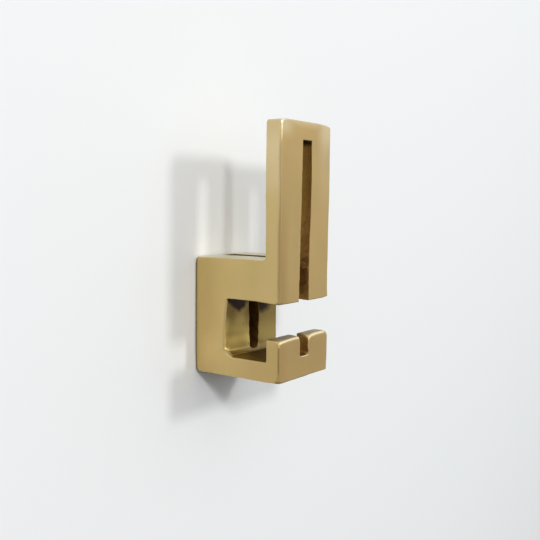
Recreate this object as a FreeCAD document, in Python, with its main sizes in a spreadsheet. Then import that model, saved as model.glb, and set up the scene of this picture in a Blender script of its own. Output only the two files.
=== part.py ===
"""Double robe hook, cast in brass as one piece.

A base block lies on the wall. A thick arm reaches forward from its top to a tall blade,
the upper hook. A thin arm reaches forward from its foot and turns up into a short lip,
the lower hook. One slot runs down the middle through blade, arm, base and lip, and stops
at a web of metal at the wall, so that a screwdriver reaches both wall screws from in front.

Millimetres. X is the width, +Y points into the wall and +Z is up. The origin is the centre
of the face that lies on the wall.
"""

import FreeCAD, Part
import math
import os
import Sketcher

NODE = "hook_casting"

# Driving sizes: name, value in millimetres and what it measures.
SIZES = (
    ("hook_height", 130.0, "underside to the top of the blade"),
    ("hook_width", 45.6, "side to side"),
    ("projection", 54.0, "wall to the front of blade and lip"),
    ("base_height", 61.0, "underside to the top of the upper arm"),
    ("base_thickness", 20.8, "wall to the back of the lower opening"),
    ("arm_thickness", 21.2, "top to underside of the upper arm"),
    ("blade_thickness", 8.8, "front to back of the blade"),
    ("floor_thickness", 9.8, "top to underside of the lower arm"),
    ("lip_rise", 12.0, "top of the lower arm up to the top of the lip"),
    ("lip_thickness", 7.7, "front to back of the lip"),
    ("slot_width", 8.4, "slot through blade, arm and base"),
    ("slot_rise", 1.4, "top of the lower arm up to the foot of the slot"),
    ("slot_bridge", 9.1, "metal left above the slot in the blade"),
    ("slot_foot_round", 3.0, "corners at the foot of the slot in the base"),
    ("web_thickness", 6.5, "metal left behind the slot, at the wall"),
    ("notch_width", 7.6, "the slot where it cuts the lip"),
    ("notch_foot_round", 2.0, "corners at the foot of the notch"),
    ("notch_shoulder_round", 1.3, "shoulders where the notch opens in the lip's top"),
    ("screw_hole", 4.5, "diameter of each screw hole"),
    ("screw_head", 8.0, "diameter of the countersink for a screw head"),
    ("head_clearance", 0.3, "between the lower screw head and the slot's foot"),
    ("screw_spacing", 30.0, "lower screw to upper screw"),
    ("heel_round", 2.5, "corner where the underside meets the wall"),
    ("floor_back_round", 3.0, "inner corner of lower arm and base"),
    ("floor_front_round", 0.9, "inner corner of lower arm and lip"),
    ("opening_round", 0.8, "inner corner of base and upper arm's underside"),
    ("seat_round", 1.0, "inner corner of upper arm and blade"),
    ("lip_corner_round", 2.4, "outer corners of the lip's top"),
    ("blade_corner_round", 1.8, "outer corners of the blade's top"),
    ("edge_round", 0.9, "outer edges and the edges of the notch"),
    ("slot_edge_round", 0.4, "edges of the slot in blade, arm and base"),
)

# How far the slot's foot lies below the origin, and how far forward the base's slot is cut:
# through the base's face and the inner corners on it.
SLOT_FOOT_DEPTH = "sizes.base_height / 2 - sizes.floor_thickness - sizes.slot_rise"
BASE_SLOT_LENGTH = (
    "sizes.base_thickness - sizes.web_thickness + sizes.floor_back_round + sizes.opening_round"
)

COUNTERSINK_ANGLE = 90.0
QUARTER_TURN = math.pi / 2
SAME_PLACE = 1e-4
PROBE = 0.01
SMOOTH_COSINE = 0.9

X_AXIS = FreeCAD.Vector(1, 0, 0)
Y_AXIS = FreeCAD.Vector(0, 1, 0)
Z_AXIS = FreeCAD.Vector(0, 0, 1)


def write_sizes(doc):
    """Spreadsheet with one aliased cell for each driving size."""
    sheet = doc.addObject("Spreadsheet::Sheet", "sizes")
    for row, (name, value, meaning) in enumerate(SIZES, start=1):
        sheet.set(f"A{row}", name)
        sheet.set(f"B{row}", str(value))
        sheet.set(f"C{row}", meaning)
        sheet.setAlias(f"B{row}", name)
    doc.recompute()
    return sheet


class Places:
    """Heights, depths and half widths in the frame, worked out from the sheet."""

    def __init__(self, sheet):
        self.underside = -sheet.base_height / 2
        self.floor = self.underside + sheet.floor_thickness
        self.slot_foot = self.floor + sheet.slot_rise
        self.lip_top = self.floor + sheet.lip_rise
        self.arm_top = self.underside + sheet.base_height
        self.arm_underside = self.arm_top - sheet.arm_thickness
        self.blade_top = self.underside + sheet.hook_height
        self.slot_top = self.blade_top - sheet.slot_bridge
        self.lower_screw = self.slot_foot + sheet.head_clearance + sheet.screw_head / 2
        self.upper_screw = self.lower_screw + sheet.screw_spacing
        self.front = -sheet.projection
        self.lip_back = self.front + sheet.lip_thickness
        self.blade_back = self.front + sheet.blade_thickness
        self.base_face = -sheet.base_thickness
        self.web_front = -sheet.web_thickness
        self.side = sheet.hook_width / 2
        self.slot_side = sheet.slot_width / 2
        self.notch_side = sheet.notch_width / 2


class Casting:
    """The body and its newest feature. Each step is computed before the next one reads it."""

    def __init__(self, doc):
        self.doc = doc
        self.body = doc.addObject("PartDesign::Body", NODE)
        self.body.Label = NODE
        self.tip = None

    def sketch(self, name, role, forward=None):
        """Empty sketch on an origin plane, moved forward into the metal where told to."""
        plane = next(f for f in self.body.Origin.OriginFeatures if f.Role == role)
        sketch = self.body.newObject("Sketcher::SketchObject", name)
        sketch.AttachmentSupport = [(plane, "")]
        sketch.MapMode = "FlatFace"
        if forward:
            sketch.setExpression("AttachmentOffset.Base.z", forward)
        return sketch

    def feature(self, kind, name, sizes, **settings):
        """New feature on the tip, with settings and with sizes driven by the sheet."""
        self.doc.recompute()
        feature = self.body.newObject(f"PartDesign::{kind}", name)
        for key, value in settings.items():
            setattr(feature, key, value)
        for key, expression in sizes.items():
            feature.setExpression(key, expression)
        self.doc.recompute()
        self.tip = feature

    def cut(self, name, sketch, depth=None):
        """Pocket from the sketch towards the front, through everything or to a depth."""
        before = self.tip.Shape.Volume
        if depth:
            self.feature("Pocket", name, {"Length": depth}, Profile=sketch, Reversed=True)
        else:
            self.feature("Pocket", name, {}, Profile=sketch, Reversed=True, Type="ThroughAll")
        if self.tip.Shape.Volume > before - 1:
            raise RuntimeError(f"{name} cuts nothing")

    def fillet(self, name, edges, size):
        if not edges:
            raise RuntimeError(f"{name} finds no edge")
        self.feature("Fillet", name, {"Radius": f"sizes.{size}"}, Base=(self.tip, edges))


def drive(sketch, kind, *ends, expression):
    """Constraint whose value an expression on the sheet drives."""
    value = float(sketch.evalExpression(expression))
    index = sketch.addConstraint(Sketcher.Constraint(kind, *ends, value))
    sketch.setExpression(f"Constraints[{index}]", expression)


def dimension(sketch, kind, first, second, expression):
    """Distance from one (line, end) to another, driven by the sheet."""
    drive(sketch, kind, *first, *second, expression=expression)


def radius(sketch, curve, expression):
    drive(sketch, "Radius", curve, expression=expression)


def add_outline(sketch, corners):
    """Closed outline of upright and level lines through the corners, joined end to end."""
    points = [FreeCAD.Vector(x, y, 0) for x, y in corners]
    following = points[1:] + points[:1]
    for index, (start, end) in enumerate(zip(points, following)):
        sketch.addGeometry(Part.LineSegment(start, end))
        kind = "Vertical" if abs(start.x - end.x) < SAME_PLACE else "Horizontal"
        sketch.addConstraint(Sketcher.Constraint(kind, index))
    for index in range(len(points)):
        following_line = (index + 1) % len(points)
        sketch.addConstraint(Sketcher.Constraint("Coincident", index, 2, following_line, 1))


def draw_side_profile(casting, at):
    """Outline from the side: the sketch's x is the frame's Y and its y is the frame's Z."""
    sketch = casting.sketch("side_profile", "YZ_Plane")
    corners = (
        (0, at.underside),
        (at.front, at.underside),
        (at.front, at.lip_top),
        (at.lip_back, at.lip_top),
        (at.lip_back, at.floor),
        (at.base_face, at.floor),
        (at.base_face, at.arm_underside),
        (at.front, at.arm_underside),
        (at.front, at.blade_top),
        (at.blade_back, at.blade_top),
        (at.blade_back, at.arm_top),
        (0, at.arm_top),
    )
    add_outline(sketch, corners)
    (underside, lip_front, lip_top, lip_back, floor, base_face,
     arm_underside, blade_front, blade_top, blade_back, arm_top, wall) = range(len(corners))
    sketch.addConstraint(Sketcher.Constraint("Symmetric", wall, 1, wall, 2, -1, 1))
    sketch.addConstraint(Sketcher.Constraint("Vertical", lip_front, 1, blade_front, 1))
    for kind, low, high, size in (
        ("DistanceY", underside, floor, "floor_thickness"),
        ("DistanceY", floor, lip_top, "lip_rise"),
        ("DistanceY", underside, arm_top, "base_height"),
        ("DistanceY", underside, blade_top, "hook_height"),
        ("DistanceY", arm_underside, arm_top, "arm_thickness"),
        ("DistanceX", lip_front, wall, "projection"),
        ("DistanceX", base_face, wall, "base_thickness"),
        ("DistanceX", lip_front, lip_back, "lip_thickness"),
        ("DistanceX", blade_front, blade_back, "blade_thickness"),
    ):
        dimension(sketch, kind, (low, 1), (high, 1), f"sizes.{size}")
    return sketch


def draw_blade_slot(casting, at):
    """Straight slot from the front, square at its top, as deep as the web leaves it."""
    sketch = casting.sketch("blade_slot_outline", "XZ_Plane", forward="sizes.web_thickness")
    add_outline(sketch, (
        (-at.slot_side, at.arm_underside),
        (-at.slot_side, at.slot_top),
        (at.slot_side, at.slot_top),
        (at.slot_side, at.arm_underside),
    ))
    left, top, right, foot = range(4)
    dimension(sketch, "DistanceX", (left, 1), (-1, 1), "sizes.slot_width / 2")
    dimension(sketch, "DistanceX", (left, 1), (right, 1), "sizes.slot_width")
    dimension(sketch, "DistanceY", (-1, 1), (top, 1),
              "sizes.hook_height - sizes.base_height / 2 - sizes.slot_bridge")
    dimension(sketch, "DistanceY", (-1, 1), (foot, 1),
              "sizes.base_height / 2 - sizes.arm_thickness")
    return sketch


def draw_footed_slot(sketch, half_width, foot, top, corner, sizes):
    """Slot from the front, open at its top, with two round corners at its foot.

    sizes holds the expressions that drive its width, its corners and its height.
    """
    inner, corner_height = half_width - corner, foot + corner
    left_top = FreeCAD.Vector(-half_width, top, 0)
    left_foot = FreeCAD.Vector(-half_width, corner_height, 0)
    base_left = FreeCAD.Vector(-inner, foot, 0)
    base_right = FreeCAD.Vector(inner, foot, 0)
    right_foot = FreeCAD.Vector(half_width, corner_height, 0)
    right_top = FreeCAD.Vector(half_width, top, 0)
    left_circle = Part.Circle(FreeCAD.Vector(-inner, corner_height, 0), Z_AXIS, corner)
    right_circle = Part.Circle(FreeCAD.Vector(inner, corner_height, 0), Z_AXIS, corner)
    left, left_corner, base, right_corner, right, lid = (
        sketch.addGeometry(piece)
        for piece in (
            Part.LineSegment(left_top, left_foot),
            Part.ArcOfCircle(left_circle, 2 * QUARTER_TURN, 3 * QUARTER_TURN),
            Part.LineSegment(base_left, base_right),
            Part.ArcOfCircle(right_circle, 3 * QUARTER_TURN, 4 * QUARTER_TURN),
            Part.LineSegment(right_foot, right_top),
            Part.LineSegment(right_top, left_top),
        )
    )
    for kind, first, second in (
        ("Tangent", left, left_corner),
        ("Tangent", left_corner, base),
        ("Tangent", base, right_corner),
        ("Tangent", right_corner, right),
        ("Coincident", right, lid),
        ("Coincident", lid, left),
    ):
        sketch.addConstraint(Sketcher.Constraint(kind, first, 2, second, 1))
    for kind, lines in (("Vertical", (left, right)), ("Horizontal", (base, lid))):
        for line in lines:
            sketch.addConstraint(Sketcher.Constraint(kind, line))
    sketch.addConstraint(Sketcher.Constraint("Equal", left_corner, right_corner))
    width, corner_size, height = sizes
    dimension(sketch, "DistanceX", (left, 1), (-1, 1), f"{width} / 2")
    dimension(sketch, "DistanceX", (left, 1), (right, 2), width)
    dimension(sketch, "DistanceY", (base, 1), (-1, 1), SLOT_FOOT_DEPTH)
    dimension(sketch, "DistanceY", (base, 1), (lid, 1), height)
    radius(sketch, left_corner, corner_size)


def draw_base_slot(casting, sheet, at):
    sketch = casting.sketch("base_slot_outline", "XZ_Plane", forward="sizes.web_thickness")
    height = "sizes.base_height - sizes.floor_thickness - sizes.slot_rise"
    draw_footed_slot(sketch, at.slot_side, at.slot_foot, at.arm_top, sheet.slot_foot_round,
                     ("sizes.slot_width", "sizes.slot_foot_round", height))
    return sketch


def draw_lip_notch(casting, sheet, at):
    lip_back = "sizes.projection - sizes.lip_thickness"
    sketch = casting.sketch("lip_notch_outline", "XZ_Plane", forward=lip_back)
    height = "sizes.lip_rise - sizes.slot_rise"
    draw_footed_slot(sketch, at.notch_side, at.slot_foot, at.lip_top, sheet.notch_foot_round,
                     ("sizes.notch_width", "sizes.notch_foot_round", height))
    return sketch


def draw_screw_centres(casting, sheet, at):
    """One circle above the other on the slot's centre line, on the front of the web."""
    sketch = casting.sketch("screw_centres", "XZ_Plane", forward="sizes.web_thickness")
    for height in (at.lower_screw, at.upper_screw):
        centre = FreeCAD.Vector(0, height, 0)
        circle = sketch.addGeometry(Part.Circle(centre, Z_AXIS, sheet.screw_hole / 2))
        sketch.addConstraint(Sketcher.Constraint("PointOnObject", circle, 3, -2))
        radius(sketch, circle, "sizes.screw_hole / 2")
    lower, upper = range(2)
    dimension(sketch, "DistanceY", (lower, 3), (-1, 1),
              f"{SLOT_FOOT_DEPTH} - sizes.head_clearance - sizes.screw_head / 2")
    dimension(sketch, "DistanceY", (lower, 3), (upper, 3), "sizes.screw_spacing")
    return sketch


def cut_screw_holes(casting, sheet, at):
    """Through holes in the web, countersunk on the slot's side."""
    sketch = draw_screw_centres(casting, sheet, at)
    casting.feature(
        "Hole", "screw_holes",
        {"Diameter": "sizes.screw_hole", "HoleCutDiameter": "sizes.screw_head"},
        Profile=sketch, DepthType="ThroughAll", HoleCutType="Countersink",
        HoleCutCustomValues=True, HoleCutCountersinkAngle=COUNTERSINK_ANGLE)


def straight_edges(shape, axis, places):
    """Names of the straight edges along an axis whose middles lie at the given places.

    A place holds x, y and z, with None where any value will do.
    """
    names = []
    for number, edge in enumerate(shape.Edges, start=1):
        if not isinstance(edge.Curve, Part.Line):
            continue
        if abs(edge.Curve.Direction.dot(axis)) < 1 - SAME_PLACE:
            continue
        middle = edge.CenterOfMass
        for place in places:
            if all(want is None or abs(want - have) < SAME_PLACE for want, have in zip(place, middle)):
                names.append(f"Edge{number}")
    return names


def outward_normals(shape, edge, point):
    """Outward normals at a point of the two faces that meet in the edge."""
    normals = []
    for face in shape.ancestorsOfType(edge, Part.Face):
        u, v = face.Surface.parameter(point)
        normals.append(face.normalAt(u, v))
    return normals


def sharp_outer_edges(shape):
    """(name, middle) of every edge where two faces meet at a sharp angle around the metal."""
    found = []
    for number, edge in enumerate(shape.Edges, start=1):
        middle = edge.valueAt(edge.getParameterByLength(edge.Length / 2))
        normals = outward_normals(shape, edge, middle)
        if len(normals) != 2 or normals[0].dot(normals[1]) > SMOOTH_COSINE:
            continue
        if not shape.isInside(middle + (normals[0] - normals[1]) * PROBE, SAME_PLACE, False):
            found.append((f"Edge{number}", middle))
    return found


def round_inner_corners(casting, at):
    """Corners of the side profile that run across the whole width, and the heel."""
    for name, size, y, z in (
        ("heel", "heel_round", 0, at.underside),
        ("floor_back", "floor_back_round", at.base_face, at.floor),
        ("floor_front", "floor_front_round", at.lip_back, at.floor),
        ("opening_corner", "opening_round", at.base_face, at.arm_underside),
        ("seat_corner", "seat_round", at.blade_back, at.arm_top),
    ):
        casting.fillet(name, straight_edges(casting.tip.Shape, X_AXIS, [(None, y, z)]), size)


def round_top_corners(casting, at):
    """Corners seen from the front: blade, lip and the shoulders of the lip's notch."""
    for name, size, x, z in (
        ("blade_corners", "blade_corner_round", at.side, at.blade_top),
        ("lip_corners", "lip_corner_round", at.side, at.lip_top),
        ("notch_shoulders", "notch_shoulder_round", at.notch_side, at.lip_top),
    ):
        places = [(-x, None, z), (x, None, z)]
        casting.fillet(name, straight_edges(casting.tip.Shape, Y_AXIS, places), size)


def is_beside_slot(point, at):
    return (
        abs(point.x) < at.slot_side + SAME_PLACE
        and at.slot_foot - SAME_PLACE < point.z < at.slot_top + SAME_PLACE
        and point.y < at.web_front + SAME_PLACE
    )


def soften_edges(casting, at):
    """Round the outer edges first, then what is still sharp: the edges of the slot."""
    outer = [
        name
        for name, middle in sharp_outer_edges(casting.tip.Shape)
        if not is_beside_slot(middle, at)
    ]
    casting.fillet("outer_edges", outer, "edge_round")
    slot = [name for name, middle in sharp_outer_edges(casting.tip.Shape)]
    casting.fillet("slot_edges", slot, "slot_edge_round")


def build(doc):
    sheet = write_sizes(doc)
    at = Places(sheet)
    casting = Casting(doc)
    profile = draw_side_profile(casting, at)
    casting.feature("Pad", "side_profile_pad", {"Length": "sizes.hook_width"},
                    Profile=profile, SideType="Symmetric")
    round_inner_corners(casting, at)
    casting.cut("blade_slot", draw_blade_slot(casting, at))
    casting.cut("base_slot", draw_base_slot(casting, sheet, at), depth=BASE_SLOT_LENGTH)
    casting.cut("lip_notch", draw_lip_notch(casting, sheet, at))
    round_top_corners(casting, at)
    soften_edges(casting, at)
    cut_screw_holes(casting, sheet, at)
    return casting.body


def check(doc, body):
    """Stop before anything is written if an object failed or the solid isn't sound."""
    for item in doc.Objects:
        if "Invalid" in item.State or "Error" in item.State:
            raise RuntimeError(f"{item.Name} failed: {item.getStatusString()}")
    shape = body.Shape
    if shape.isNull() or not shape.isValid() or len(shape.Solids) != 1:
        raise RuntimeError(f"{body.Label} isn't one valid solid")


def main():
    doc = FreeCAD.newDocument("robe_hook")
    body = build(doc)
    check(doc, body)
    os.makedirs("parts", exist_ok=True)
    body.Shape.exportStep(f"parts/{body.Label}.step")


main()
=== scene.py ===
"""Double robe hook: the hand-finished look of the one-piece brass casting.

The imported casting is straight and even. Here its surface is built again as one dense mesh,
from the same places, with what hand filing left on it: a slight bow, a slot that leans,
edges worn round by uneven amounts and the rough skin of the mould inside the slot.
"""

import math

import bpy
import numpy as np
from mathutils import Matrix, Vector


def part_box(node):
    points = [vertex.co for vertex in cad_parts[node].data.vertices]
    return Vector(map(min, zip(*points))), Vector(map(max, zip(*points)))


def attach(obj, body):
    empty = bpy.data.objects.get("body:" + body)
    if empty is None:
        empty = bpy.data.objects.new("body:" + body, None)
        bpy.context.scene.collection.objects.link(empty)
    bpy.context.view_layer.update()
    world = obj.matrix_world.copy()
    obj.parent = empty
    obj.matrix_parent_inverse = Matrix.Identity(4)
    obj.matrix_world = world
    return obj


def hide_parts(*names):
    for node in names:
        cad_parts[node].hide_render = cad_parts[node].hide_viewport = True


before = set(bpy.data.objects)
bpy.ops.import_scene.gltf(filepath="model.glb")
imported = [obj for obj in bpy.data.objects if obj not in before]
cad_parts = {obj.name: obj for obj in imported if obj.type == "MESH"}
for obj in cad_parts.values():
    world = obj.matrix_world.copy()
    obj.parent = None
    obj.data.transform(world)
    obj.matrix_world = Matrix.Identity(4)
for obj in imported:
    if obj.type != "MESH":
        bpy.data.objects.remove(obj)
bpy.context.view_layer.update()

NODE = "hook_casting"
MM = 0.001

# Places in the frame, in millimetres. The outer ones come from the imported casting.
node_low, node_high = (np.array(corner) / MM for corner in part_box(NODE))
SIDE = node_high[0]
FRONT = node_low[1]
UNDERSIDE, BLADE_TOP = node_low[2], node_high[2]
ARM_TOP = -UNDERSIDE
ARM_UNDERSIDE = ARM_TOP - 21.2
FLOOR = UNDERSIDE + 9.8
LIP_TOP = FLOOR + 12.0
LIP_BACK = FRONT + 7.7
BLADE_BACK = FRONT + 8.8
BASE_FACE = -20.8
WEB_FRONT = -6.5
SLOT_TOP = BLADE_TOP - 9.1
SLOT_FOOT = FLOOR + 1.4
SLOT_SIDE = 4.2
NOTCH_SIDE = 3.8
SCREW_HEIGHTS = (-15.0, 15.0)
SCREW_RADIUS = 2.25
SINK_RADIUS = 4.0

# Rounds, in millimetres. Hand filing left the left and right corners different.
EDGE_ROUND = 0.7
SLOT_EDGE_ROUND = 0.4
SHOULDER_ROUND = 1.6
SLOT_FOOT_ROUND = 3.0
NOTCH_FOOT_ROUND = 2.0
HEEL_ROUND = 2.5
FLOOR_BACK_ROUND = 3.0
FLOOR_FRONT_ROUND = 0.9
OPENING_ROUND = 0.8
SEAT_ROUND = 1.0
LEFT_BLADE_CORNER, RIGHT_BLADE_CORNER = 1.6, 1.5
LEFT_LIP_CORNER, RIGHT_LIP_CORNER = 1.2, 2.3

# Middles of the lower opening and of its mouth: they part the lip from the rest.
OPENING_MIDDLE = (LIP_BACK + BASE_FACE) / 2
MOUTH_MIDDLE = (LIP_TOP + ARM_UNDERSIDE) / 2


def smooth_step(value, start, end):
    """0 at start and beyond, 1 at end and beyond, smooth between them."""
    share = np.clip((value - start) / (end - start), 0, 1)
    return share * share * (3 - 2 * share)


def around(value, place, flat, reach):
    """1 within flat of the place and 0 beyond reach of it."""
    return 1 - smooth_step(np.abs(value - place), flat, reach)


# Waves in a ripple, and the scale that keeps their sum mostly within -1 and 1.
RIPPLE_WAVES = 7
RIPPLE_SCALE = 0.6


def ripple(points, wavelength, seed):
    """Smooth uneven field around 0, mostly within -1 and 1, with that wavelength in mm."""
    rng = np.random.default_rng(seed)
    total = np.zeros(len(points))
    for _ in range(RIPPLE_WAVES):
        direction = rng.normal(size=3)
        direction /= np.linalg.norm(direction)
        length = wavelength * rng.uniform(0.7, 1.5)
        total += np.sin(points @ direction * (2 * math.pi / length) + rng.uniform(0, 2 * math.pi))
    return total * math.sqrt(2 / RIPPLE_WAVES) * RIPPLE_SCALE


def both(a, b, radius):
    """Field that is negative inside both a and b, with the edge between them rounded."""
    reach = np.hypot(np.maximum(a + radius, 0), np.maximum(b + radius, 0))
    return np.minimum(np.maximum(a, b), -radius) + reach


def either(a, b, radius):
    """Field that is negative inside a or b, with the corner between them filled."""
    return -both(-a, -b, radius)


def lip_front(points):
    """1 at the front of the lip's top, where hands and tools have worn it, and 0 elsewhere."""
    y, z = points[:, 1], points[:, 2]
    towards_front = 1 - smooth_step(y, FRONT + 2.5, FRONT + 5.5)
    return smooth_step(z, LIP_TOP - 3.5, LIP_TOP - 1) * towards_front * is_lip(points)


def worn_radius(points):
    """Radius of the outer edges: uneven, and larger where the casting is worn or filed away."""
    x, y, z = points.T
    uneven = EDGE_ROUND * (1 + 0.22 * ripple(points, 26, seed=3))
    high = smooth_step(z, ARM_TOP - 4, ARM_TOP - 1)
    arm_top = 0.5 * high * smooth_step(y, BLADE_BACK, -4.0)
    wall_corner = 0.6 * high * smooth_step(y, -5, -2)
    at_wall = smooth_step(y, -3.5, -1.5) * (0.1 + 0.6 * smooth_step(-z, -20, 25))
    near = smooth_step(-x, SIDE - 4, SIDE - 1)
    foot_corner = 0.6 * near * smooth_step(-y, 46, 52) * smooth_step(-z, 26, 29.5)
    front_edge = 0.2 * near * (1 - smooth_step(y, FRONT + 2, FRONT + 4))
    in_opening = (z > FLOOR + 3) * (z < ARM_UNDERSIDE + 1)
    face_edge = 0.6 * near * around(y, BASE_FACE, 1, 3) * in_opening
    worn = arm_top + wall_corner + at_wall + foot_corner + front_edge + face_edge
    return uneven + worn + 0.9 * lip_front(points)


def profile_field(points, edge, soft):
    """The side profile: everything but the sides and the tops of blade and lip."""
    y, z = points[:, 1], points[:, 2]
    outer = both(both(UNDERSIDE - z, y, soft * HEEL_ROUND), FRONT - y, edge)
    seat = either(y - BLADE_BACK, z - ARM_TOP, soft * SEAT_ROUND)
    opening_top = either(ARM_UNDERSIDE - z, BASE_FACE - y, soft * OPENING_ROUND)
    lip = np.maximum(y - LIP_BACK, z - MOUTH_MIDDLE)
    opening_foot = either(z - FLOOR, lip, soft * FLOOR_FRONT_ROUND)
    around_opening = either(opening_top, opening_foot, soft * FLOOR_BACK_ROUND)
    return both(both(outer, seat, edge), around_opening, edge)


def is_lip(points):
    return (points[:, 1] < OPENING_MIDDLE) & (points[:, 2] < MOUTH_MIDDLE)


def slot_field(points, soft):
    """Negative inside the slot: the air that runs through blade, arm, base and lip."""
    x, y, z = points.T
    lip = is_lip(points)
    wall = np.abs(x) - np.where(lip, NOTCH_SIDE, SLOT_SIDE)
    foot_round = soft * np.where(lip, NOTCH_FOOT_ROUND, SLOT_FOOT_ROUND)
    air = both(wall, SLOT_FOOT - z, foot_round)
    return np.maximum(air, np.maximum(z - SLOT_TOP, y - WEB_FRONT))


def screw_field(points, soft):
    """Negative inside the screw holes. Where nothing is rounded yet, they are square."""
    x, y, z = points.T
    air = np.full(len(points), 1e3)
    for height in SCREW_HEIGHTS:
        if soft:
            radial = np.hypot(x, z - height)
            sink = (radial + y - WEB_FRONT - SINK_RADIUS) * math.sqrt(0.5)
            hole = np.minimum(radial - SCREW_RADIUS, np.maximum(sink, WEB_FRONT - y))
        else:
            hole = np.maximum(np.abs(x), np.abs(z - height)) - SCREW_RADIUS
        air = np.minimum(air, np.maximum(hole, WEB_FRONT - y - 1))
    return air


def outline_field(points, soft):
    """The outline seen from in front: both sides, and the tops of blade and lip."""
    x, z = points[:, 0], points[:, 2]
    lip = is_lip(points)
    top = z - np.where(lip, LIP_TOP, BLADE_TOP)
    blade_corner = np.where(x < 0, LEFT_BLADE_CORNER, RIGHT_BLADE_CORNER)
    lip_corner = np.where(x < 0, LEFT_LIP_CORNER, RIGHT_LIP_CORNER)
    return both(np.abs(x) - SIDE, top, soft * np.where(lip, lip_corner, blade_corner))


def metal_field(points, soft=1.0):
    """Negative inside the casting, in mm. At soft = 0 every edge and corner is sharp."""
    edge = soft * worn_radius(points)
    body = both(outline_field(points, soft), profile_field(points, edge, soft), edge)
    notch_edge = SLOT_EDGE_ROUND + lip_front(points) * (SHOULDER_ROUND - SLOT_EDGE_ROUND)
    notch_foot = 1 - smooth_step(points[:, 2], SLOT_FOOT + 1.5, SLOT_FOOT + 3)
    notch_edge = notch_edge + 0.35 * notch_foot * (points[:, 1] < FRONT + 3)
    slot_edge = soft * np.where(is_lip(points), notch_edge, SLOT_EDGE_ROUND)
    body = both(body, -slot_field(points, soft), slot_edge)
    return np.maximum(body, -screw_field(points, soft))


# Cuts beside an edge, as shares of its round: they divide the round evenly.
ROUND_CUTS = (0.0, 0.42, 0.73, 1.0)
# Widest spacing of the planes, and the closest that two may lie, in millimetres.
X_SPACING, Y_SPACING, Z_SPACING = 1.6, 1.25, 1.25
CLOSEST_PLANES = 0.14
# Round of the worn edges at the arm's top, and the band that is cut finer beside a screw hole.
WORN_ARM_ROUND = 2.2
HOLE_BAND = 1.0


def cuts(place, *radii):
    """Planes at a place and beside it, for rounds on its low (-) or high (+) side."""
    return [place] + [place + radius * share for radius in radii for share in ROUND_CUTS]


def fill(marks, spacing, closest):
    """Sorted planes through the marks, with no two too close and no gap over the spacing."""
    kept = []
    for mark in sorted(marks, key=lambda m: (not m[1], m[0])):
        if all(abs(mark[0] - other) >= closest for other in kept):
            kept.append(mark[0])
    kept.sort()
    planes = []
    for low, high in zip(kept, kept[1:]):
        steps = max(1, math.ceil((high - low) / spacing))
        planes += [low + (high - low) * step / steps for step in range(steps)]
    return np.array(planes + [kept[-1]])


def marked(places, supports):
    """Places are kept whatever lies near them; supports give way."""
    return [(p, True) for p in places] + [(p, False) for p in supports]


def grid_planes():
    """Planes along X, Y and Z that pass through every face and divide every round."""
    edge = EDGE_ROUND
    half_x = cuts(SIDE, -edge, -RIGHT_LIP_CORNER)
    half_x += cuts(SLOT_SIDE, edge, SLOT_EDGE_ROUND, -SLOT_FOOT_ROUND)
    half_x += cuts(SCREW_RADIUS, HOLE_BAND, -HOLE_BAND)
    x_supports = half_x + [-x for x in half_x]
    x_places = (-SIDE, -SLOT_SIDE, -SCREW_RADIUS, 0, SCREW_RADIUS, SLOT_SIDE, SIDE)
    y_supports = (
        cuts(FRONT, edge)
        + cuts(LIP_BACK, -edge, FLOOR_FRONT_ROUND)
        + cuts(BLADE_BACK, -edge, SEAT_ROUND)
        + cuts(BASE_FACE, edge, -FLOOR_BACK_ROUND, -OPENING_ROUND)
        + cuts(0, -edge, -HEEL_ROUND)
    )
    y_places = (FRONT, LIP_BACK, BLADE_BACK, BASE_FACE, WEB_FRONT, 0)
    z_supports = (
        cuts(UNDERSIDE, edge, HEEL_ROUND)
        + cuts(FLOOR, -edge, edge, FLOOR_BACK_ROUND)
        + cuts(SLOT_FOOT, -edge, SLOT_FOOT_ROUND)
        + cuts(LIP_TOP, -edge, -RIGHT_LIP_CORNER)
        + cuts(ARM_UNDERSIDE, edge, -OPENING_ROUND)
        + cuts(ARM_TOP, -edge, -WORN_ARM_ROUND, SEAT_ROUND)
        + cuts(SLOT_TOP, edge)
        + cuts(BLADE_TOP, -edge, -RIGHT_BLADE_CORNER)
    )
    z_places = [UNDERSIDE, FLOOR, SLOT_FOOT, LIP_TOP, ARM_UNDERSIDE, ARM_TOP, SLOT_TOP, BLADE_TOP]
    for height in SCREW_HEIGHTS:
        for place in (height - SCREW_RADIUS, height + SCREW_RADIUS):
            z_places.append(place)
            z_supports += cuts(place, HOLE_BAND, -HOLE_BAND)
    return (
        fill(marked(x_places, x_supports), X_SPACING, CLOSEST_PLANES),
        fill(marked(y_places, y_supports), Y_SPACING, CLOSEST_PLANES),
        fill(marked(z_places, z_supports), Z_SPACING, CLOSEST_PLANES),
    )


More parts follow.
